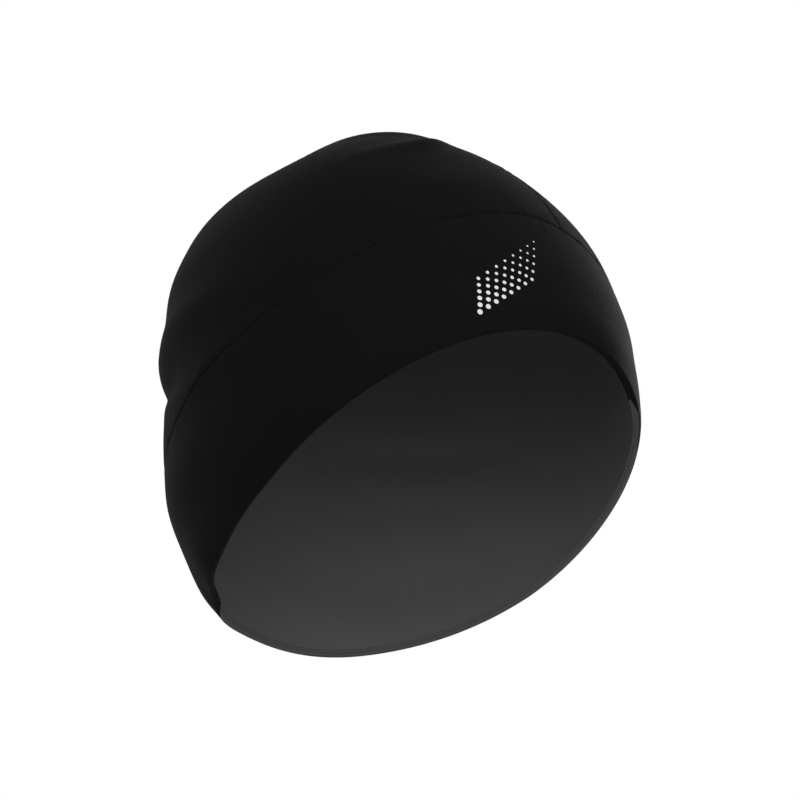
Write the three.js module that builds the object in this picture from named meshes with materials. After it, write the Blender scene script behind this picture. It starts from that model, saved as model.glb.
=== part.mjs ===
import * as THREE from 'three';

// Neoprene surf beanie in the form it takes on a head.
// Millimetres, +Z up, forehead at -Y, the wearer's left at +X.
// The origin is the middle of the head opening.

// Layers of the wall, and the clear space between pieces
const SHELL_THICKNESS = 2.0;
const LINING_THICKNESS = 1.0;
const CLEARANCE = 0.3;

// Height of the crown over the middle of the opening
const TOP = 148.4;

// Stand-off of the wall from the upright middle axis, towards the forehead, the nape and each ear:
// reach at shoulder height, roundness above it, and the share drawn in below it
const FRONT = { reach: 87.7, shoulder: 43.7, power: 1.62, tuck: 0.26 };
const BACK = { reach: 96.4, shoulder: 35.0, power: 3.78, tuck: 0.29 };
const SIDE = { reach: 88.9, shoulder: 55.7, power: 2.38, tuck: 0.23 };
const TUCK_SPAN = 80;

// Heights of the opening's edge and of the seam between band and crown, high in front and low behind
const RIM = { mid: 0, lean: 40.6, bow: 8.1 };
const SEAM = { mid: 50.5, lean: 42.2, bow: 5.8 };

// The edge curls in towards the head over its last stretch, fully round the lip's angle,
// fading away from it down to the least share
const LIP = { inset: 2.5, tall: 13, angle: 290, fade: 2, least: 0.2 };

// Each cut edge is eased over on its outer side by this much
const EASED_EDGE = 0.6;

// Dents (push below zero) and bulges: centre by angle round the head and height, half widths in
// degrees and millimetres, climb of the fold over its half width, and whether both sides have it
const FOLDS = [
  { angle: 212, height: 110, turn: 30, tall: 16, slant: 0, push: 3.3, both: true },
  { angle: 222, height: 86, turn: 26, tall: 14, slant: 0, push: 2.4, both: true },
  { angle: 234, height: 62, turn: 26, tall: 9, slant: 0, push: 2.4, both: true },
  { angle: 220, height: 57, turn: 16, tall: 5, slant: -4, push: 0.6, both: false },
  { angle: 218, height: 46, turn: 16, tall: 4, slant: -5, push: -2.0, both: false },
  { angle: 220, height: 37, turn: 16, tall: 8, slant: -4, push: -0.7, both: false },
  { angle: 236, height: 24, turn: 24, tall: 14, slant: 0, push: -0.9, both: true },
  { angle: 228, height: 3, turn: 24, tall: 12, slant: 0, push: 2.0, both: true },
  { angle: 227, height: -27, turn: 8, tall: 10, slant: 0, push: 1.7, both: false },
  { angle: 208, height: -33, turn: 10, tall: 4.5, slant: 0, push: -3.6, both: false },
  { angle: 184, height: -33, turn: 14, tall: 8, slant: 0, push: -1.1, both: false },
  { angle: 153, height: -31, turn: 16, tall: 10, slant: 0, push: 0.7, both: false },
  { angle: 65, height: 15, turn: 45, tall: 35, slant: 0, push: -1.1, both: false },
  { angle: 10, height: 46, turn: 30, tall: 7, slant: 0, push: -1.2, both: false },
  { angle: 255, height: 127, turn: 16, tall: 8, slant: 0, push: -0.9, both: false },
  { angle: 295, height: 139.5, turn: 34, tall: 3.4, slant: 4, push: 1.5, both: false },
  { angle: 305, height: 124, turn: 16, tall: 4, slant: 10, push: 0.8, both: false },
  { angle: 315, height: 112, turn: 34, tall: 16, slant: 0, push: 0.7, both: true },
  { angle: 315, height: 86, turn: 30, tall: 14, slant: 0, push: -1.2, both: true },
  { angle: 320, height: 60, turn: 30, tall: 14, slant: 0, push: -1.9, both: true },
];
const FOLD_CENTRE = new THREE.Vector3(0, 0, 62);

// Grid of the walls: columns round the head, and rows as shares of the way up each piece
const COLUMNS = 48;
const BAND_ROWS = [0, 0.03, 0.1, 0.2, 0.32, 0.45, 0.58, 0.71, 0.84, 0.97, 1];
const CROWN_ROWS = [
  0, 0.015, 0.05, 0.085, 0.11, 0.13, 0.15, 0.175, 0.22, 0.29,
  0.37, 0.45, 0.54, 0.63, 0.72, 0.81, 0.9, 0.96, 1,
];

// Step between the points that give the wall's direction, and the rise past which it faces straight up
const NORMAL_STEP = 0.002;
const FLAT_RISE = 0.999;

const FINISHES = {
  crown: { color: 0x161617, roughness: 0.8, metalness: 0 },
  band: { color: 0x131314, roughness: 0.75, metalness: 0 },
  lining: { color: 0x4b4b4d, roughness: 0.95, metalness: 0 },
};

const DEGREES = Math.PI / 180;

const clamp = THREE.MathUtils.clamp;

function edgeHeight(line, turn) {
  return line.mid + line.lean * Math.cos(turn) + line.bow * Math.cos(2 * turn);
}

function standOff(side, height) {
  const above = clamp((height - side.shoulder) / (TOP - side.shoulder), 0, 1);
  const below = Math.max((side.shoulder - height) / TUCK_SPAN, 0);
  return side.reach * Math.sqrt(1 - above ** side.power) * (1 - side.tuck * below ** 2);
}

function lipShare(turn) {
  return clamp(LIP.fade * Math.cos(turn - LIP.angle * DEGREES), LIP.least, 1);
}

function foldPush(fold, angle, height) {
  const across = (THREE.MathUtils.euclideanModulo(angle - fold.angle + 180, 360) - 180) / fold.turn;
  const along = (height - fold.height - fold.slant * across) / fold.tall;
  return fold.push * Math.exp(-(across ** 2) - along ** 2);
}

function totalPush(angle, height) {
  let push = 0;
  for (const fold of FOLDS) {
    push += foldPush(fold, angle, height);
    if (fold.both) {
      push += foldPush(fold, 360 - angle, height);
    }
  }
  return push;
}

// Outer face of the wall: turn runs round from the forehead to the wearer's left, rise from edge to top
function wallPoint(turn, rise) {
  const rim = edgeHeight(RIM, turn);
  const height = rim + (TOP - rim) * Math.sin(rise * Math.PI / 2);
  const lengthwise = Math.cos(turn) > 0 ? FRONT : BACK;
  const point = new THREE.Vector3(
    standOff(SIDE, height) * Math.sin(turn),
    -standOff(lengthwise, height) * Math.cos(turn),
    height,
  );
  const radius = Math.hypot(point.x, point.y);
  if (radius > 0) {
    const nearEdge = clamp(1 - (height - rim) / LIP.tall, 0, 1);
    const curl = LIP.inset * lipShare(turn) * nearEdge ** 2;
    point.x *= 1 - curl / radius;
    point.y *= 1 - curl / radius;
  }
  const angle = THREE.MathUtils.euclideanModulo(Math.atan2(point.x, -point.y) / DEGREES, 360);
  const outward = point.clone().sub(FOLD_CENTRE).normalize();
  return point.addScaledVector(outward, totalPush(angle, height));
}

function wallNormal(turn, rise) {
  if (rise > FLAT_RISE) {
    return new THREE.Vector3(0, 0, 1);
  }
  const round = wallPoint(turn + NORMAL_STEP, rise).sub(wallPoint(turn - NORMAL_STEP, rise));
  const up = wallPoint(turn, rise + NORMAL_STEP / 2).sub(wallPoint(turn, rise - NORMAL_STEP / 2));
  return round.cross(up).normalize();
}

function layerPoint(turn, rise, depth) {
  return wallPoint(turn, rise).addScaledVector(wallNormal(turn, rise), -depth);
}

// Rise at which the seam lies, moved up or down the wall by half the clearance
function seamRise(turn, shift) {
  const rim = edgeHeight(RIM, turn);
  const height = edgeHeight(SEAM, turn) + shift;
  return Math.asin((height - rim) / (TOP - rim)) * 2 / Math.PI;
}

function bandRise(turn, share) {
  return share * seamRise(turn, -CLEARANCE / 2);
}

function crownRise(turn, share) {
  const start = seamRise(turn, CLEARANCE / 2);
  return start + share * (1 - start);
}

// Columns from one turn to another; a full ring leaves out the last one
function turnsBetween(first, last) {
  const count = Math.round((last - first) * COLUMNS);
  const ring = count === COLUMNS;
  return Array.from({ length: ring ? count : count + 1 }, (_, i) => (first + i / COLUMNS) * 2 * Math.PI);
}

// One closed wall between two depths. rows holds { riseAt, outer, inner } from the lower edge up;
// a wall with an apex ends in one point, and side keeps a half on its own side of the middle plane
function closedWall({ turns, rows, apex = false, side = 0 }) {
  const ring = turns.length === COLUMNS;
  const positions = [];
  const faces = [];
  const addPoint = (point) => {
    if (side !== 0) {
      point.x = side * Math.max(side * point.x, CLEARANCE / 2);
    }
    positions.push(point.x, point.y, point.z);
    return positions.length / 3 - 1;
  };
  const addQuad = (a, b, c, d) => {
    for (const face of [[a, b, c], [a, c, d]]) {
      if (new Set(face).size === 3) {
        faces.push(...face);
      }
    }
  };
  const layer = (face) => rows.map((row, index) => {
    if (apex && index === rows.length - 1) {
      const tip = addPoint(layerPoint(0, 1, row[face]));
      return turns.map(() => tip);
    }
    return turns.map((turn) => addPoint(layerPoint(turn, row.riseAt(turn), row[face])));
  });
  const outer = layer('outer');
  const inner = layer('inner');
  const last = rows.length - 1;
  const spans = ring ? turns.length : turns.length - 1;
  for (let i = 0; i < spans; i += 1) {
    const j = (i + 1) % turns.length;
    for (let r = 0; r < last; r += 1) {
      addQuad(outer[r][i], outer[r][j], outer[r + 1][j], outer[r + 1][i]);
      addQuad(inner[r][i], inner[r + 1][i], inner[r + 1][j], inner[r][j]);
    }
    addQuad(outer[0][i], inner[0][i], inner[0][j], outer[0][j]);
    if (!apex) {
      addQuad(outer[last][i], outer[last][j], inner[last][j], inner[last][i]);
    }
  }
  if (!ring) {
    const end = turns.length - 1;
    for (let r = 0; r < last; r += 1) {
      addQuad(outer[r][0], outer[r + 1][0], inner[r + 1][0], inner[r][0]);
      addQuad(outer[r][end], inner[r][end], inner[r + 1][end], outer[r + 1][end]);
    }
  }
  const geometry = new THREE.BufferGeometry();
  geometry.setAttribute('position', new THREE.Float32BufferAttribute(positions, 3));
  geometry.setIndex(faces);
  geometry.computeVertexNormals();
  return geometry;
}

function shellRows(shares, riseOf, easedTop) {
  const last = shares.length - 1;
  return shares.map((share, index) => ({
    riseAt: (turn) => riseOf(turn, share),
    outer: index === 0 || (easedTop && index === last) ? EASED_EDGE : 0,
    inner: SHELL_THICKNESS,
  }));
}

function band() {
  return closedWall({
    turns: turnsBetween(0, 1),
    rows: shellRows(BAND_ROWS, bandRise, true),
  });
}

function crownHalf(side) {
  return closedWall({
    turns: side > 0 ? turnsBetween(0, 0.5) : turnsBetween(0.5, 1),
    rows: shellRows(CROWN_ROWS, crownRise, false),
    apex: true,
    side,
  });
}

// The lining backs the band and both halves of the crown in one skin
function lining() {
  const outer = SHELL_THICKNESS + CLEARANCE;
  const inner = outer + LINING_THICKNESS;
  const behindBand = BAND_ROWS.slice(0, -1).map((share) => ({
    riseAt: (turn) => bandRise(turn, share),
    outer,
    inner,
  }));
  const behindCrown = CROWN_ROWS.map((share) => ({
    riseAt: (turn) => crownRise(turn, share),
    outer,
    inner,
  }));
  return closedWall({
    turns: turnsBetween(0, 1),
    rows: [...behindBand, ...behindCrown],
    apex: true,
  });
}

function piece(name, geometry, finish) {
  const mesh = new THREE.Mesh(geometry, new THREE.MeshStandardMaterial(finish));
  mesh.name = name;
  return mesh;
}

const beanie = new THREE.Group();
beanie.add(
  piece('crown_right', crownHalf(-1), FINISHES.crown),
  piece('crown_left', crownHalf(1), FINISHES.crown),
  piece('band', band(), FINISHES.band),
  piece('lining', lining(), FINISHES.lining),
);

export default beanie;
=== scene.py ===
import math

import bpy
import numpy as np
from mathutils import Matrix, Vector


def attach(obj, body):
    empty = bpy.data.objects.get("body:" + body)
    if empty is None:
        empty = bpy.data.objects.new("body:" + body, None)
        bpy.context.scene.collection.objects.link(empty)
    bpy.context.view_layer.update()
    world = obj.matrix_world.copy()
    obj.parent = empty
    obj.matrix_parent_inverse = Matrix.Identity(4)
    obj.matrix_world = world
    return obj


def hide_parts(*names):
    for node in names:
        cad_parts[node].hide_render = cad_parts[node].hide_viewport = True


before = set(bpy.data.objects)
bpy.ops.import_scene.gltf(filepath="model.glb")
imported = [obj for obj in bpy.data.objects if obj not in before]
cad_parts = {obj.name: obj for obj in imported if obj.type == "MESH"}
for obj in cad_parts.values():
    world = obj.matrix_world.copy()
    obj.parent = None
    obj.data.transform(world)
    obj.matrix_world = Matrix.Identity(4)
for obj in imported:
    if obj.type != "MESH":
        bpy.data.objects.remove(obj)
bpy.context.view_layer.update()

MM = 0.001

# Layers of the wall, and the clear space between shell and lining and across a seam, in millimetres
SHELL_THICKNESS = 2.0
LINING_THICKNESS = 1.0
LAYER_GAP = 0.03
SEAM_GAP = 0.12

# Shape of the wall, in millimetres, as in the part's source. The lip curls in over its height, fully
# round its angle and fading to the least share, and below the edge it grows on up to its limit
TOP = 148.4
FRONT = {"reach": 87.7, "shoulder": 43.7, "power": 1.62, "tuck": 0.26}
BACK = {"reach": 96.4, "shoulder": 35.0, "power": 3.78, "tuck": 0.29}
SIDE = {"reach": 88.9, "shoulder": 55.7, "power": 2.38, "tuck": 0.23}
TUCK_SPAN = 80.0
RIM = {"mid": 0.0, "lean": 40.6, "bow": 8.1}
SEAM = {"mid": 50.5, "lean": 42.2, "bow": 5.8}
LIP = {"inset": 2.5, "tall": 13.0, "angle": 290.0, "fade": 2.0, "least": 0.2, "limit": 1.3}

# Dents (push below zero) and bulges, as in the part's source: centre by angle round the head and height,
# half widths in degrees and millimetres, climb over the half width, push, and whether both sides have it
FOLD_COLUMNS = ("angle", "height", "turn", "tall", "slant", "push", "both")
FOLDS = [
    dict(zip(FOLD_COLUMNS, row))
    for row in (
        (212, 110.0, 30, 16.0, 0, 3.3, True),
        (222, 86.0, 26, 14.0, 0, 2.4, True),
        (234, 62.0, 26, 9.0, 0, 2.4, True),
        (220, 57.0, 16, 5.0, -4, 0.6, False),
        (218, 46.0, 16, 4.0, -5, -2.0, False),
        (220, 37.0, 16, 8.0, -4, -0.7, False),
        (236, 24.0, 24, 14.0, 0, -0.9, True),
        (228, 3.0, 24, 12.0, 0, 2.0, True),
        (227, -27.0, 8, 10.0, 0, 1.7, False),
        (208, -33.0, 10, 4.5, 0, -3.6, False),
        (184, -33.0, 14, 8.0, 0, -1.1, False),
        (153, -31.0, 16, 10.0, 0, 0.7, False),
        (65, 15.0, 45, 35.0, 0, -1.1, False),
        (10, 46.0, 30, 7.0, 0, -1.2, False),
        (255, 127.0, 16, 8.0, 0, -0.9, False),
        (295, 139.5, 34, 3.4, 4, 1.5, False),
        (305, 124.0, 16, 4.0, 10, 0.8, False),
        (315, 112.0, 34, 16.0, 0, 0.7, True),
        (315, 86.0, 30, 14.0, 0, -1.2, True),
        (320, 60.0, 30, 14.0, 0, -1.9, True),
    )
]
FOLD_CENTRE = np.array([0.0, 0.0, 62.0])

# Small creases and dimples, in the same columns, which only the finished surfaces have
CREASES = [
    dict(zip(FOLD_COLUMNS, row))
    for row in (
        (231, 43.0, 8, 6.0, 0, -1.1, False),
        (251, 35.0, 10, 6.0, 3, 1.0, False),
        (262, 35.0, 3, 3.0, 0, 0.4, False),
        (281, 59.0, 3, 3.0, 0, -0.4, False),
        (271, 53.0, 3, 2.5, 0, -0.4, False),
        (314, 128.0, 9, 4.0, 6, 1.6, False),
        (318, 115.0, 14, 9.0, 6, -1.1, False),
    )
]

# Seams: the groove, and the puckers that the thread pulls beside it, whose height follows waves of a
# share, a length and a shift. A seam is taken as so long for each degree of turn or millimetre of climb
GROOVE = {"depth": 0.4, "width": 0.85}
PUCKER = {"height": 0.24, "width": 5.5}
PUCKER_WAVES = ((0.3, 13.4, 0.0), (0.28, 7.6, 1.3), (0.2, 21.7, 4.0), (0.22, 4.7, 2.1))
BAND_SEAM_PER_DEGREE = 1.6
CROWN_SEAM_PER_CLIMB = 1.1

# The cut edge. Its outer corner is rounded off, less where the foam is bare, and it bulges slightly:
# each point is (share of the foam's or the cloth's part of the thickness from its inner side, drop)
EDGE_ROUND = 0.6
BARE_ROUND = 0.3
EDGE_FOAM = ((0.2, 0.1), (0.6, 0.18), (1.0, 0.18))
EDGE_CLOTH = ((0.3, 0.18), (0.7, 0.14))

# Round the wrap's angle the outer cloth is drawn over the edge and covers most of its thickness
WRAP = {"angle": 295.5, "fade": 11.0, "least": 0.06, "most": 0.97}

# Grid of the walls: columns round the head, and steps in millimetres, or in radians round a crown half,
# that start fine at an edge or a seam and grow. A short last step is joined to the one before it
BAND_COLUMNS = 360
LINING_COLUMNS = 240
BAND_STEPS = {"fine": 0.12, "coarse": 1.8, "growth": 1.35}
CROWN_STEPS = {"fine": 0.12, "coarse": 1.7, "growth": 1.35}
CROWN_TURNS = {"fine": 0.0012, "coarse": math.radians(1.3), "growth": 1.5}
LINING_STEPS = {"fine": 0.25, "coarse": 2.0, "growth": 1.35}
SHORT_STEP = 0.3

# Rows of the faces that lie against another layer, as shares of the way up each piece
BAND_INNER_SHARES = (0.9, 0.75, 0.6, 0.45, 0.3, 0.15, 0.06, 0.0)
CROWN_INNER_SHARES = (
    0.97, 0.93, 0.88, 0.8, 0.72, 0.64, 0.56, 0.48, 0.4,
    0.33, 0.27, 0.22, 0.18, 0.15, 0.12, 0.09, 0.06, 0.03,
)
LINING_BACK_SHARES = (0.0, 0.01, 0.03, *np.linspace(0.06, 0.97, 60))

# Lining: length from rim to top, share of the edge's rounding at its rim, strips of rows that are its
# cut edge, and the share of drawn-over cloth from which that edge is covered
LINING = {"length": 190.0, "rounding": 0.6, "edge_strips": 3, "covered": 0.9}

# Steps that give the wall's direction and its length, the rise past which the direction is taken from
# just below, how far above the band seam the crown is measured, and lengths as good as none
NORMAL_STEP = 0.002
SPEED_STEP = 0.001
FLAT_RISE = 0.998
CROWN_FOOT = 0.01
ON_AXIS = 1e-6
NO_LENGTH = 1e-9

# Stitches: length across the seam, slant, spacing, thread radius, how proud they are, how deep their
# ends go in, and the share of the groove's depth that their middle sinks
STITCH = {"across": 2.0, "slant": 1.0, "pitch": 2.8, "radius": 0.15, "proud": 0.02, "dive": 0.55, "sag": 0.55}
STITCH_SIDES = 6
STITCH_RINGS = 7

# Points along each seam line, of which the crown's are for each half, and how far ahead and behind a
# stitch its direction is taken
BAND_SEAM_POINTS = 720
CROWN_SEAM_POINTS = 400
ALONG_REACH = 0.4

# Print: a slanted field of round dots, by its corners on the band (angle round the head, height)
PRINT_CORNERS = {
    "low_back": (326.5, 45.8),
    "low_front": (341.5, 64.9),
    "high_back": (327.0, 59.9),
    "high_front": (345.0, 83.4),
}
PRINT_COLUMNS, PRINT_ROWS = 8, 6
PRINT_DOT = {"largest": 1.02, "smallest": 0.34, "thick": 0.12}

# Rings of a dot from its foot in the cloth to its flat top: shares of its radius and of its thickness
DOT_RINGS = ((1.0, -0.15), (1.0, 0.5), (0.94, 0.85), (0.8, 1.0))
DOT_SIDES = 20

# Cloth of a crown half is laid out flat round this direction from a point in the head
CROWN_CENTRE = np.array([0.0, 0.0, 45.0])
CROWN_LEAN = (0.64, 0.77)
CROWN_RADIUS = 98.0

# Knit of the outer cloth: width and height of a stitch in metres, how far its legs climb, and the
# heights of the stitches and of the ridges between their columns
KNIT = {"wale": 0.0009, "course": 0.0011, "climb": 1.4, "loops": 0.5, "ridges": 0.6}

# Colours, each as the dark and the light between which a material's noise goes
SHELL_COLOURS = ((0.0009, 0.0009, 0.0010), (0.0017, 0.0017, 0.0018))
LINING_COLOURS = ((0.0390, 0.0390, 0.0398), (0.0452, 0.0452, 0.0460))
FOAM_COLOURS = ((0.023, 0.023, 0.0235), (0.032, 0.032, 0.0325))
THREAD_COLOURS = ((0.0015, 0.0015, 0.0016), (0.0030, 0.0030, 0.0032))
PRINT_COLOURS = ((0.24, 0.245, 0.25), (0.36, 0.365, 0.37))
FLOOR_COLOURS = ((0.8428, 0.8428, 0.8428), (0.86, 0.86, 0.86))
SHEEN_COLOUR = (0.9, 0.92, 1.0, 1.0)

# Camera: where it stands by azimuth, elevation and roll in degrees, its distance and its shift sideways
# and up in millimetres, its lens and sensor in millimetres, and the range that it sees in metres
CAMERA = {"azimuth": -49.3, "elevation": -23.7, "roll": 2.24, "distance": 1186.0}
CAMERA_OFFSET = {"right": -1.95, "up": 43.8}
LENS_MM, SENSOR_MM = 144.5, 36.0
CLIP_NEAR, CLIP_FAR = 0.05, 50.0

# Floor, lights and surroundings, in metres and watts
FLOOR_HALF = 6.0
FLOOR_DROP = 1.65
LIGHTS = {
    "front": {"place": (-1.1, -1.3, 0.17), "aim": (0, 0, 0), "size": (2.0, 1.55), "power": 54.0},
    "side": {"place": (1.5, 0.2, 0.5), "aim": (0, 0, 0.06), "size": (0.6, 1.2), "power": 11.5},
}
SKY_STRENGTH = 1.0


# Camera


def place_camera():
    turn, rise, roll = (math.radians(CAMERA[k]) for k in ("azimuth", "elevation", "roll"))
    back = Vector((math.sin(turn) * math.cos(rise), -math.cos(turn) * math.cos(rise), math.sin(rise)))
    level = Vector((math.cos(turn), math.sin(turn), 0.0))
    upright = back.cross(level)
    right = level * math.cos(roll) + upright * math.sin(roll)
    up = upright * math.cos(roll) - level * math.sin(roll)
    place = back * CAMERA["distance"] + right * CAMERA_OFFSET["right"] + up * CAMERA_OFFSET["up"]
    data = bpy.data.cameras.new("camera")
    data.lens = LENS_MM
    data.sensor_width = SENSOR_MM
    data.clip_start = CLIP_NEAR
    data.clip_end = CLIP_FAR
    camera = bpy.data.objects.new("camera", data)
    bpy.context.collection.objects.link(camera)
    axes = Matrix((right, up, back)).transposed().to_4x4()
    camera.matrix_world = Matrix.Translation(place * MM) @ axes
    bpy.context.scene.camera = camera


place_camera()


# Wall: points on the outer face, by turn round the head (radians) and rise from edge to top (0 to 1)


def edge_height(line, turn):
    return line["mid"] + line["lean"] * np.cos(turn) + line["bow"] * np.cos(2 * turn)


def stand_off(side, height):
    above = np.clip((height - side["shoulder"]) / (TOP - side["shoulder"]), 0, 1)
    below = np.maximum((side["shoulder"] - height) / TUCK_SPAN, 0)
    return side["reach"] * np.sqrt(1 - above ** side["power"]) * (1 - side["tuck"] * below**2)


def lip_share(turn):
    """How far the edge curls in: fully round the lip's angle, and little on the other side."""
    return np.clip(LIP["fade"] * np.cos(turn - math.radians(LIP["angle"])), LIP["least"], 1)


def fold_push(fold, angle, height):
    across = ((angle - fold["angle"] + 180) % 360 - 180) / fold["turn"]
    along = (height - fold["height"] - fold["slant"] * across) / fold["tall"]
    return fold["push"] * np.exp(-(across**2) - along**2)


def wall_points(turn, rise):
    rim = edge_height(RIM, turn)
    height = rim + (TOP - rim) * np.sin(rise * math.pi / 2)
    lengthwise = np.where(np.cos(turn) > 0, stand_off(FRONT, height), stand_off(BACK, height))
    x = stand_off(SIDE, height) * np.sin(turn)
    y = -lengthwise * np.cos(turn)
    radius = np.maximum(np.hypot(x, y), NO_LENGTH)
    near_edge = np.clip(1 - (height - rim) / LIP["tall"], 0, LIP["limit"])
    curl = LIP["inset"] * lip_share(turn) * near_edge**2
    keep = np.where(radius > ON_AXIS, 1 - curl / radius, 1.0)
    points = np.stack([x * keep, y * keep, height], -1)
    angle = np.degrees(np.arctan2(points[..., 0], -points[..., 1])) % 360
    push = np.zeros_like(height)
    for fold in FOLDS + CREASES:
        push = push + fold_push(fold, angle, height)
        if fold["both"]:
            push = push + fold_push(fold, 360 - angle, height)
    outward = points - FOLD_CENTRE
    outward /= np.linalg.norm(outward, axis=-1, keepdims=True)
    return points + outward * push[..., None]


def wall_normals(turn, rise):
    rise = np.minimum(rise, FLAT_RISE)
    across = wall_points(turn + NORMAL_STEP, rise) - wall_points(turn - NORMAL_STEP, rise)
    up = wall_points(turn, rise + NORMAL_STEP / 2) - wall_points(turn, rise - NORMAL_STEP / 2)
    normals = np.cross(across, up)
    return normals / np.linalg.norm(normals, axis=-1, keepdims=True)


def rise_at(turn, height):
    rim = edge_height(RIM, turn)
    return np.arcsin((height - rim) / (TOP - rim)) * 2 / math.pi


def seam_rise(turn):
    return rise_at(turn, edge_height(SEAM, turn))


def speed_at(turn, rise):
    """Millimetres of wall for each unit of rise."""
    step = wall_points(turn, rise + SPEED_STEP) - wall_points(turn, rise - SPEED_STEP)
    return np.linalg.norm(step, axis=-1) / (2 * SPEED_STEP)


def ripple(position):
    """Uneven waves between -1 and 1 along a seam, without random numbers."""
    return sum(
        share * np.sin(2 * math.pi * position / length + shift)
        for share, length, shift in PUCKER_WAVES
    )


def seam_relief(distance, position):
    """Height added to the outer face near a seam: the groove, and the puckers beside it."""
    groove = -GROOVE["depth"] * np.exp(-((distance / GROOVE["width"]) ** 2))
    pucker = PUCKER["height"] * ripple(position) * np.exp(-((distance / PUCKER["width"]) ** 2))
    return groove + pucker


# Meshes


def graded(total, fine, coarse, growth):
    """Places from 0 to total, in steps that start fine and grow to coarse."""
    places, step = [0.0], fine
    while places[-1] + step < total:
        places.append(places[-1] + step)
        step = min(step * growth, coarse)
    if total - places[-1] < SHORT_STEP * step and len(places) > 1:
        places.pop()
    places.append(total)
    return np.array(places)


def mesh_object(name, points, faces, uvs=None, finishes=None):
    mesh = bpy.data.meshes.new(name)
    mesh.from_pydata((np.asarray(points) * MM).tolist(), [], [list(map(int, f)) for f in faces])
    mesh.update()
    mesh.polygons.foreach_set("use_smooth", [True] * len(mesh.polygons))
    if finishes is not None:
        mesh.polygons.foreach_set("material_index", finishes)
    if uvs is not None:
        layer = mesh.uv_layers.new(name="cloth")
        loops = np.empty(len(mesh.loops), dtype=np.int64)
        mesh.loops.foreach_get("vertex_index", loops)
        layer.data.foreach_set("uv", (np.asarray(uvs)[loops] * MM).ravel())
    obj = bpy.data.objects.new(name, mesh)
    bpy.context.collection.objects.link(obj)
    return obj


def closed_sheet(turns, layers, ring, edge_rows=()):
    """A closed wall, from rows of its section: up one face from the lower edge, then down the other.

    Each row is (rise for every turn, depth for every turn, length along the section, whether it is the
    single point at the top). edge_rows are the strips after these rows that have the second finish."""
    points, uvs, rows = [], [], []
    count = len(turns)
    around = turns * (SIDE["reach"] + FRONT["reach"]) / 2
    for rise, depth, length, is_tip in layers:
        start = len(points)
        if is_tip:
            place = wall_points(turns[:1], rise[:1]) - np.array([[0, 0, 1.0]]) * depth[:1, None]
            points.extend(place)
            uvs.append((0.0, length))
            rows.append([start] * count)
            continue
        place = wall_points(turns, rise) - wall_normals(turns, rise) * depth[:, None]
        points.extend(place)
        uvs.extend(zip(around, np.broadcast_to(length, count)))
        rows.append(list(range(start, start + count)))
    faces, finishes = [], []
    spans = count if ring else count - 1
    for number, (lower, upper) in enumerate(zip(rows, rows[1:] + rows[:1])):
        for i in range(spans):
            j = (i + 1) % count
            face = list(dict.fromkeys([lower[i], lower[j], upper[j], upper[i]]))
            if len(face) > 2:
                faces.append(face)
                finishes.append(int(number in edge_rows))
    return points, uvs, rows, faces, finishes


def eased(distance, radius=EDGE_ROUND):
    """Depth of a rounded edge at a distance from the cut."""
    inside = np.clip(1 - distance / radius, 0, 1)
    return radius * (1 - np.sqrt(1 - inside**2))


def near_share(turns):
    """1 where the outer cloth is drawn over the edge, 0 where the edge is bare."""
    return np.clip(1 + WRAP["fade"] * np.cos(turns - math.radians(WRAP["angle"])), 0, 1)


def wrapped_share(turns):
    """Share of the edge's thickness that the outer cloth covers."""
    return WRAP["least"] + (WRAP["most"] - WRAP["least"]) * near_share(turns)


def band_mesh():
    """The band: outer face, inner face, and the cut edge as foam and then the cloth drawn over it."""
    turns = np.linspace(0, 2 * math.pi, BAND_COLUMNS, endpoint=False)
    top = seam_rise(turns)
    speed = speed_at(turns, top / 2)
    length = top * speed
    position = np.degrees(turns) * BAND_SEAM_PER_DEGREE
    rounding = BARE_ROUND + (EDGE_ROUND - BARE_ROUND) * near_share(turns)
    mean = float(length.mean())
    half = graded(mean / 2, **BAND_STEPS)
    shares = np.concatenate([half, mean - half[::-1][1:]]) / mean
    end = 1 - SEAM_GAP / 2 / mean
    layers = []
    for share in np.minimum(shares, end):
        to_seam = (1 - share) * length
        relief = seam_relief(to_seam, position) - eased(share * length, rounding)
        layers.append((top * share, -relief, share * mean, False))
    inner = np.full(len(turns), SHELL_THICKNESS)
    for share in (end, *BAND_INNER_SHARES):
        layers.append((top * share, inner, -share * mean, False))
    first = len(layers) - 1
    wrap = wrapped_share(turns)
    for share, drop in EDGE_FOAM:
        depth = inner * (1 - share * (1 - wrap))
        layers.append((-drop / speed, depth, -drop - share * SHELL_THICKNESS, False))
    for share, drop in EDGE_CLOTH:
        depth = inner * wrap * (1 - share) + rounding * share
        layers.append((-drop / speed, depth, -drop, False))
    points, uvs, _, faces, finishes = closed_sheet(turns, layers, True, range(first, first + len(EDGE_FOAM)))
    return points, faces, uvs, finishes


def flat_cloth(points, side):
    """Cloth coordinates of a crown half: distance and direction from its middle, kept when laid flat."""
    middle = np.array([side * CROWN_LEAN[0], 0.0, CROWN_LEAN[1]])
    middle /= np.linalg.norm(middle)
    ahead = np.array([0.0, -1.0, 0.0])
    aside = np.cross(middle, ahead)
    outward = points - CROWN_CENTRE
    outward /= np.linalg.norm(outward, axis=1, keepdims=True)
    away = np.arccos(np.clip(outward @ middle, -1, 1))
    flat = np.stack([outward @ ahead, outward @ aside], 1)
    flat /= np.maximum(np.linalg.norm(flat, axis=1, keepdims=True), NO_LENGTH)
    return flat * away[:, None] * CROWN_RADIUS


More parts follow.
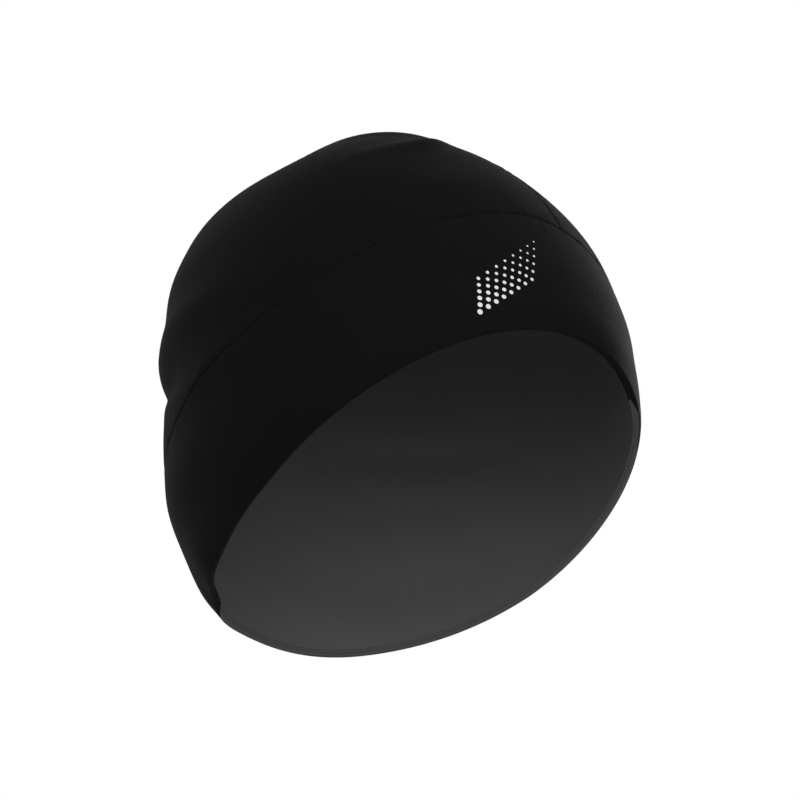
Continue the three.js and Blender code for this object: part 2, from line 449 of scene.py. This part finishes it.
def crown_mesh(side):
    """One half of the crown, closed along the seam over the head, half the seam's gap off the middle."""
    half = graded(math.pi / 2, **CROWN_TURNS)
    turns = np.concatenate([half, math.pi - half[::-1][1:]])
    if side < 0:
        turns = 2 * math.pi - turns[::-1]
    start = seam_rise(turns)
    length = (1 - start) * speed_at(turns, start + CROWN_FOOT)
    position = np.degrees(turns) * BAND_SEAM_PER_DEGREE
    mean = float(length.mean())
    shares = graded(mean, **CROWN_STEPS) / mean
    begin = SEAM_GAP / 2 / mean
    layers = []
    for share in np.maximum(shares[:-1], begin):
        rise = start + share * (1 - start)
        across = np.abs(wall_points(turns, rise)[..., 0])
        relief = seam_relief(share * length, position)
        relief = relief + seam_relief(across, share * mean * CROWN_SEAM_PER_CLIMB)
        layers.append((rise, -relief, share * mean, False))
    one = np.ones(len(turns))
    layers.append((one, one * GROOVE["depth"], mean, True))
    layers.append((one, one * SHELL_THICKNESS, -mean, True))
    for share in (*CROWN_INNER_SHARES, begin):
        layers.append((start + share * (1 - start), one * SHELL_THICKNESS, -share * mean, False))
    points, _, rows, faces, finishes = closed_sheet(turns, layers, False)
    points = np.array(points)
    points[:, 0] += side * SEAM_GAP / 2
    for column in (0, -1):
        ring = list(dict.fromkeys(row[column] for row in rows))
        faces.append(ring if column == -1 else ring[::-1])
        finishes.append(0)
    return points, faces, flat_cloth(points, side), finishes


def lining_mesh():
    """The inner skin. The strips of its rim show foam, or cloth where that is drawn over the edge."""
    turns = np.linspace(0, 2 * math.pi, LINING_COLUMNS, endpoint=False)
    one = np.ones(len(turns))
    outer = SHELL_THICKNESS + LAYER_GAP
    inner = outer + LINING_THICKNESS
    total = LINING["length"]
    layers = [(one * share, one * outer, share * total, False) for share in LINING_BACK_SHARES]
    layers.append((one, one * outer, total, True))
    layers.append((one, one * inner, total, True))
    shares = graded(total, **LINING_STEPS) / total
    for share in shares[::-1][1:]:
        rounding = eased(share * total) * LINING["rounding"]
        layers.append((one * share, one * inner - rounding, -share * total, False))
    edge_rows = range(len(layers) - LINING["edge_strips"], len(layers))
    points, uvs, rows, faces, finishes = closed_sheet(turns, layers, True, edge_rows)
    covered = near_share(turns + math.pi / len(turns)) > LINING["covered"]
    column = {index: k for row in rows for k, index in enumerate(row)}
    finishes = [f * (1 + int(covered[min(column[i] for i in face)])) for f, face in zip(finishes, faces)]
    return points, faces, uvs, finishes


def ring_pairs(start, rings, sides):
    """Each point of some rings, with its neighbour in the ring."""
    for ring in range(rings):
        for m in range(sides):
            yield start + ring * sides + m, start + ring * sides + (m + 1) % sides


# Stitches


def band_seam_line():
    turns = np.linspace(0, 2 * math.pi, BAND_SEAM_POINTS)
    return turns, seam_rise(turns)


def crown_seam_line():
    """From the band seam in front, over the top, to the band seam behind."""
    climb = np.linspace(0, 1, CROWN_SEAM_POINTS)[1:-1]
    front, back = (float(seam_rise(np.array(turn))) for turn in (0.0, math.pi))
    turns = np.concatenate([np.zeros(len(climb)), np.full(len(climb), math.pi)])
    rises = np.concatenate([front + climb * (1 - front), (back + climb * (1 - back))[::-1]])
    return turns, rises


def seam_stations(turns, rise):
    """Places along a seam a pitch apart, each with its normal and its direction along the seam."""
    points = wall_points(turns, rise)
    steps = np.linalg.norm(np.diff(points, axis=0), axis=1)
    travelled = np.concatenate([[0], np.cumsum(steps)])

    def points_at(distances):
        return np.stack([np.interp(distances, travelled, points[:, k]) for k in range(3)], -1)

    count = int(travelled[-1] // STITCH["pitch"])
    at = (np.arange(count) + 0.5) * travelled[-1] / count
    along = points_at(at + ALONG_REACH) - points_at(at - ALONG_REACH)
    along /= np.linalg.norm(along, axis=-1, keepdims=True)
    normal = wall_normals(np.interp(at, travelled, turns), np.interp(at, travelled, rise))
    normal -= along * (normal * along).sum(-1, keepdims=True)
    normal /= np.linalg.norm(normal, axis=-1, keepdims=True)
    return points_at(at), normal, along


def stitch_spine(place, normal, along, side):
    """Middle line of a thread, sunk into the groove, with its ends in the cloth."""
    return [
        place
        + side * (u * STITCH["across"] / 2)
        + along * (u * STITCH["slant"] / 2)
        + normal * (STITCH["proud"] - STITCH["dive"] * u**4 - GROOVE["depth"] * STITCH["sag"] * (1 - u * u))
        for u in np.linspace(-1, 1, STITCH_RINGS)
    ]


def stitch_mesh(name, places, normals, alongs):
    """Short slanted threads over a groove, each a bowed tube."""
    points, faces = [], []
    sides = np.cross(alongs, normals)
    for place, normal, along, side in zip(places, normals, alongs, sides):
        start = len(points)
        spine = stitch_spine(place, normal, along, side)
        for k, centre in enumerate(spine):
            ahead = spine[min(k + 1, len(spine) - 1)] - spine[max(k - 1, 0)]
            ahead = ahead / np.linalg.norm(ahead)
            wide = np.cross(ahead, normal)
            wide /= np.linalg.norm(wide)
            high = np.cross(wide, ahead)
            for m in range(STITCH_SIDES):
                a = 2 * math.pi * m / STITCH_SIDES
                points.append(centre + STITCH["radius"] * (math.cos(a) * wide + math.sin(a) * high))
        for a, b in ring_pairs(start, STITCH_RINGS - 1, STITCH_SIDES):
            faces.append([a, a + STITCH_SIDES, b + STITCH_SIDES, b])
        tip = start + (STITCH_RINGS - 1) * STITCH_SIDES
        faces.append([start + m for m in range(STITCH_SIDES)])
        faces.append([tip + m for m in reversed(range(STITCH_SIDES))])
    return mesh_object(name, points, faces)


# Print


def print_place(u, v):
    """Turn and rise at a share u forwards and a share v up the printed field."""
    corner = {name: np.array(place) for name, place in PRINT_CORNERS.items()}
    low = corner["low_back"] * (1 - u) + corner["low_front"] * u
    high = corner["high_back"] * (1 - u) + corner["high_front"] * u
    degrees, height = low * (1 - v) + high * v
    turn = np.array([math.radians(degrees)])
    return turn, rise_at(turn, height)


def add_dot(points, faces, turn, rise, size):
    """A flat dot with a rounded edge, closed by its foot in the cloth."""
    centre = wall_points(turn, rise)[0]
    normal = wall_normals(turn, rise)[0]
    ahead = wall_points(turn + NORMAL_STEP, rise)[0] - wall_points(turn - NORMAL_STEP, rise)[0]
    ahead /= np.linalg.norm(ahead)
    up = np.cross(normal, ahead)
    start = len(points)
    for radius, proud in DOT_RINGS:
        for m in range(DOT_SIDES):
            a = 2 * math.pi * m / DOT_SIDES
            flat = size * radius * (math.cos(a) * ahead + math.sin(a) * up)
            points.append(centre + flat + normal * PRINT_DOT["thick"] * proud)
    points.append(centre + normal * PRINT_DOT["thick"])
    for a, b in ring_pairs(start, len(DOT_RINGS) - 1, DOT_SIDES):
        faces.append([a, b, b + DOT_SIDES, a + DOT_SIDES])
    last = start + (len(DOT_RINGS) - 1) * DOT_SIDES
    for a, b in ring_pairs(last, 1, DOT_SIDES):
        faces.append([a, b, last + DOT_SIDES])
    faces.append([start + m for m in reversed(range(DOT_SIDES))])


def print_mesh():
    """Raised dots that follow the band, larger at the low back corner than at the high front one."""
    points, faces = [], []
    for column in range(PRINT_COLUMNS):
        for row in range(PRINT_ROWS):
            u, v = column / (PRINT_COLUMNS - 1), row / (PRINT_ROWS - 1)
            size = PRINT_DOT["largest"] + (PRINT_DOT["smallest"] - PRINT_DOT["largest"]) * (u + v) / 2
            add_dot(points, faces, *print_place(u, v), size)
    return mesh_object("print_dots", points, faces)


# Materials


class Nodes:
    """Short calls for building a node tree."""

    def __init__(self, name):
        self.material = bpy.data.materials.new(name)
        self.material.use_nodes = True
        self.tree = self.material.node_tree
        self.tree.nodes.clear()
        self.output = self.tree.nodes.new("ShaderNodeOutputMaterial")
        self.shader = self.tree.nodes.new("ShaderNodeBsdfPrincipled")
        self.link(self.shader.outputs["BSDF"], self.output.inputs["Surface"])

    def link(self, a, b):
        self.tree.links.new(a, b)

    def put(self, socket, value):
        if isinstance(value, bpy.types.NodeSocket):
            self.link(value, socket)
        else:
            socket.default_value = value

    def maths(self, operation, *values):
        node = self.tree.nodes.new("ShaderNodeMath")
        node.operation = operation
        for socket, value in zip(node.inputs, values):
            self.put(socket, value)
        return node.outputs[0]

    def cloth_uv(self):
        node = self.tree.nodes.new("ShaderNodeUVMap")
        node.uv_map = "cloth"
        split = self.tree.nodes.new("ShaderNodeSeparateXYZ")
        self.link(node.outputs["UV"], split.inputs[0])
        return split.outputs["X"], split.outputs["Y"]

    def place(self):
        return self.tree.nodes.new("ShaderNodeTexCoord").outputs["Object"]

    def noise(self, scale, detail, roughness=0.55):
        node = self.tree.nodes.new("ShaderNodeTexNoise")
        self.link(self.place(), node.inputs["Vector"])
        node.inputs["Scale"].default_value = scale
        node.inputs["Detail"].default_value = detail
        node.inputs["Roughness"].default_value = roughness
        return node.outputs["Fac"]

    def between(self, factor, low, high):
        node = self.tree.nodes.new("ShaderNodeMapRange")
        self.put(node.inputs["Value"], factor)
        node.inputs["To Min"].default_value = low
        node.inputs["To Max"].default_value = high
        return node.outputs["Result"]

    def tint(self, factor, low, high):
        node = self.tree.nodes.new("ShaderNodeMix")
        node.data_type = "RGBA"
        self.put(node.inputs["Factor"], factor)
        node.inputs["A"].default_value = (*low, 1)
        node.inputs["B"].default_value = (*high, 1)
        return node.outputs["Result"]

    def bump(self, height, strength, distance, below=None):
        node = self.tree.nodes.new("ShaderNodeBump")
        self.put(node.inputs["Height"], height)
        node.inputs["Strength"].default_value = strength
        node.inputs["Distance"].default_value = distance
        if below is not None:
            self.link(below, node.inputs["Normal"])
        return node.outputs["Normal"]

    def set(self, **values):
        for name, value in values.items():
            self.put(self.shader.inputs[name.replace("_", " ")], value)
        return self.material


def knit_height(n):
    """Height of a fine knit: columns of small Vs."""
    u, v = n.cloth_uv()
    column = n.maths("FRACT", n.maths("DIVIDE", u, KNIT["wale"]))
    from_middle = n.maths("ABSOLUTE", n.maths("SUBTRACT", column, 0.5))
    legs = n.maths("MULTIPLY", from_middle, KNIT["climb"])
    row = n.maths("ADD", n.maths("DIVIDE", v, KNIT["course"]), legs)
    loops = n.maths("SINE", n.maths("MULTIPLY", row, 2 * math.pi))
    ridges = n.maths("ABSOLUTE", n.maths("SINE", n.maths("MULTIPLY", column, 2 * math.pi)))
    loop_height = n.maths("MULTIPLY", loops, KNIT["loops"])
    return n.maths("ADD", loop_height, n.maths("MULTIPLY", ridges, KNIT["ridges"]))


def neoprene(name, roughest, smoothest, sheen):
    n = Nodes(name)
    cloud = n.noise(scale=22.0, detail=4.0)
    grain = n.noise(scale=900.0, detail=2.0)
    waves = n.noise(scale=60.0, detail=3.0)
    knit = n.bump(knit_height(n), strength=0.3, distance=0.0002)
    slack = n.bump(waves, strength=0.25, distance=0.0012, below=knit)
    return n.set(
        Base_Color=n.tint(cloud, *SHELL_COLOURS),
        Roughness=n.between(cloud, low=smoothest, high=roughest),
        Specular_IOR_Level=0.03,
        Sheen_Weight=sheen,
        Sheen_Roughness=0.45,
        Sheen_Tint=SHEEN_COLOUR,
        Normal=n.bump(grain, strength=0.2, distance=0.0003, below=slack),
    )


def fleece():
    n = Nodes("lining_fleece")
    cloud = n.noise(scale=30.0, detail=4.0)
    fibre = n.noise(scale=1400.0, detail=3.0, roughness=0.7)
    waves = n.noise(scale=70.0, detail=3.0)
    pile = n.bump(fibre, strength=0.4, distance=0.0004)
    return n.set(
        Base_Color=n.tint(cloud, *LINING_COLOURS),
        Roughness=0.95,
        Specular_IOR_Level=0.05,
        Sheen_Weight=0.02,
        Sheen_Roughness=0.6,
        Normal=n.bump(waves, strength=0.2, distance=0.001, below=pile),
    )


def foam():
    n = Nodes("foam_edge")
    pores = n.noise(scale=2500.0, detail=2.0, roughness=0.8)
    return n.set(
        Base_Color=n.tint(pores, *FOAM_COLOURS),
        Roughness=0.9,
        Specular_IOR_Level=0.1,
        Normal=n.bump(pores, strength=0.5, distance=0.0003),
    )


def thread():
    n = Nodes("thread")
    twist = n.noise(scale=1800.0, detail=1.0)
    return n.set(
        Base_Color=n.tint(twist, *THREAD_COLOURS),
        Roughness=0.75,
        Specular_IOR_Level=0.05,
        Normal=n.bump(twist, strength=0.4, distance=0.0001),
    )


def rubber_print():
    n = Nodes("rubber_print")
    worn = n.noise(scale=400.0, detail=4.0, roughness=0.7)
    return n.set(
        Base_Color=n.tint(worn, *PRINT_COLOURS),
        Roughness=n.between(worn, low=0.5, high=0.75),
        Specular_IOR_Level=0.3,
        Normal=n.bump(worn, strength=0.15, distance=0.0002),
    )


def pale_floor():
    n = Nodes("pale_floor")
    grain = n.noise(scale=3.0, detail=2.0)
    return n.set(Base_Color=n.tint(grain, *FLOOR_COLOURS), Roughness=0.9, Specular_IOR_Level=0.2)


def clothed(obj, *materials):
    for material in materials:
        obj.data.materials.append(material)
    return obj


# Pieces

crown_cloth = neoprene("crown_neoprene", roughest=0.88, smoothest=0.76, sheen=0.0065)
band_cloth = neoprene("band_neoprene", roughest=0.86, smoothest=0.74, sheen=0.0055)
lining_cloth = fleece()
edge_foam = foam()
black_thread = thread()
print_rubber = rubber_print()

for side, name in ((-1, "crown_right"), (1, "crown_left")):
    shell = clothed(mesh_object(f"{name}_shell", *crown_mesh(side)), crown_cloth)
    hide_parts(name)
    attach(shell, "root")

band_shell = clothed(mesh_object("band_shell", *band_mesh()), band_cloth, edge_foam)
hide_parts("band")
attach(band_shell, "root")

lining_skin = clothed(mesh_object("lining_skin", *lining_mesh()), lining_cloth, edge_foam, band_cloth)
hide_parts("lining")
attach(lining_skin, "root")

for name, line in (("band_seam_stitches", band_seam_line()), ("crown_seam_stitches", crown_seam_line())):
    stitches = clothed(stitch_mesh(name, *seam_stations(*line)), black_thread)
    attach(stitches, "root")

dots = clothed(print_mesh(), print_rubber)
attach(dots, "root")


# Floor, light and surroundings


def floor():
    half = FLOOR_HALF
    mesh = bpy.data.meshes.new("floor")
    corners = [(-half, -half, 0), (half, -half, 0), (half, half, 0), (-half, half, 0)]
    mesh.from_pydata(corners, [], [[0, 1, 2, 3]])
    obj = bpy.data.objects.new("floor", mesh)
    obj.location = (0, 0, -FLOOR_DROP)
    bpy.context.collection.objects.link(obj)
    mesh.materials.append(pale_floor())


def soft_box(name, place, aim, size, power):
    data = bpy.data.lights.new(name, "AREA")
    data.shape = "RECTANGLE"
    data.size, data.size_y = size
    data.energy = power
    light = bpy.data.objects.new(name, data)
    light.location = place
    light.rotation_mode = "QUATERNION"
    light.rotation_quaternion = (Vector(aim) - Vector(place)).to_track_quat("-Z", "Y")
    bpy.context.collection.objects.link(light)


def surroundings():
    world = bpy.data.worlds.new("studio")
    world.use_nodes = True
    sky = world.node_tree.nodes["Background"]
    sky.inputs["Color"].default_value = (1, 1, 1, 1)
    sky.inputs["Strength"].default_value = SKY_STRENGTH
    bpy.context.scene.world = world


floor()
surroundings()
for name, light in LIGHTS.items():
    soft_box(name, **light)
bpy.context.scene.view_settings.view_transform = "Standard"
